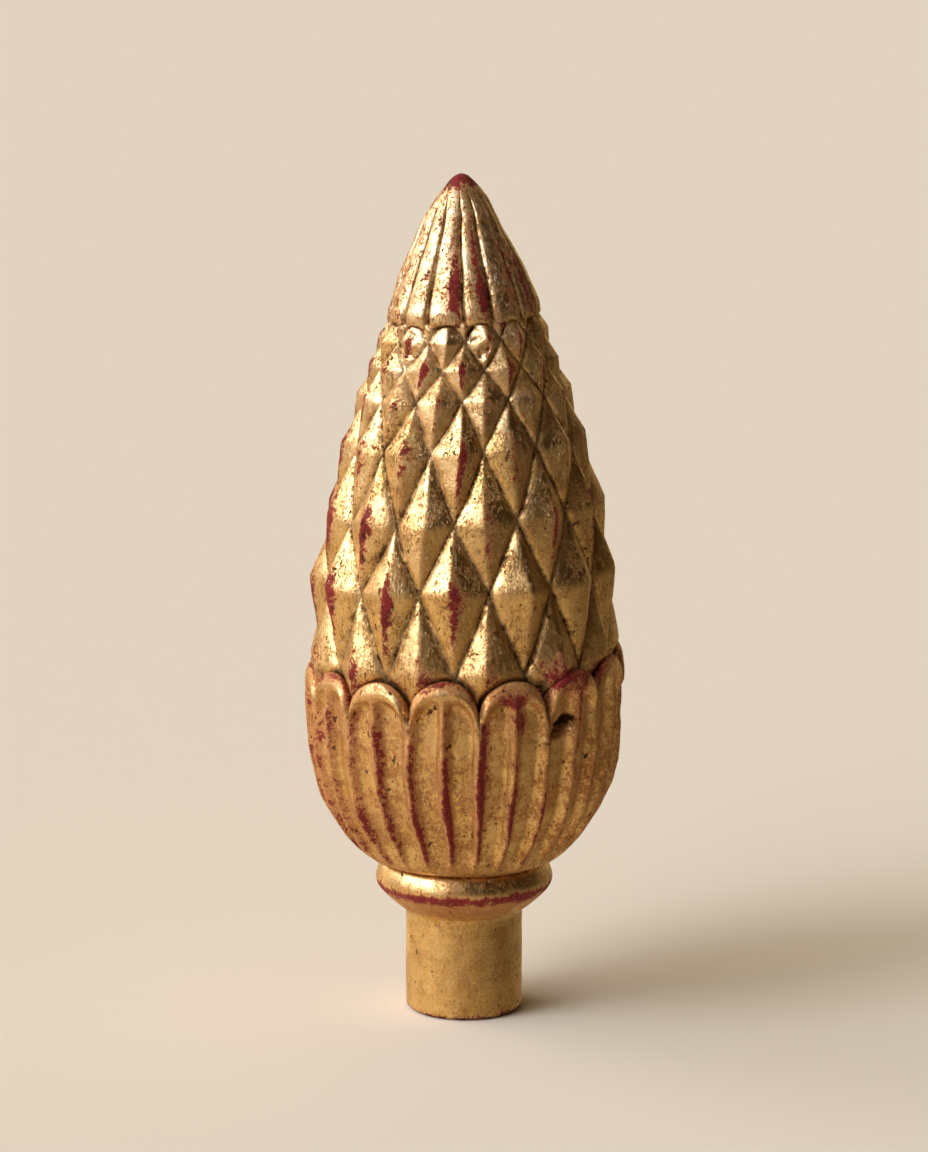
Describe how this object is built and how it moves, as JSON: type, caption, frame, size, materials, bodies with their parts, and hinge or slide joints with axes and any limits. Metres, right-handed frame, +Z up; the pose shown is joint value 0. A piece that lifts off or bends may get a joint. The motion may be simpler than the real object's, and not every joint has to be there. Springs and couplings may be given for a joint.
{
  "type": "pine cone finial",
  "caption": "Carved and gilded wooden finial in the form of a pine cone, with a round spigot and collar, a cup of fluted petals, rows of pointed scales and a ribbed pointed cap.",
  "frame": {"origin": "middle of the flat end of the spigot, where the finial stands", "axes": "+Z up the finial's long axis to the tip of the cap, -Y the side that faces the picture's camera, +X to that camera's right"},
  "size_m": [0.0888, 0.0884, 0.2336],
  "materials": {
    "gilded_wood": "worn water gilding over red bole, satin"
  },
  "bodies": {
    "root": {"pine_cone_finial": "gilded_wood"}
  },
  "joints": []
}
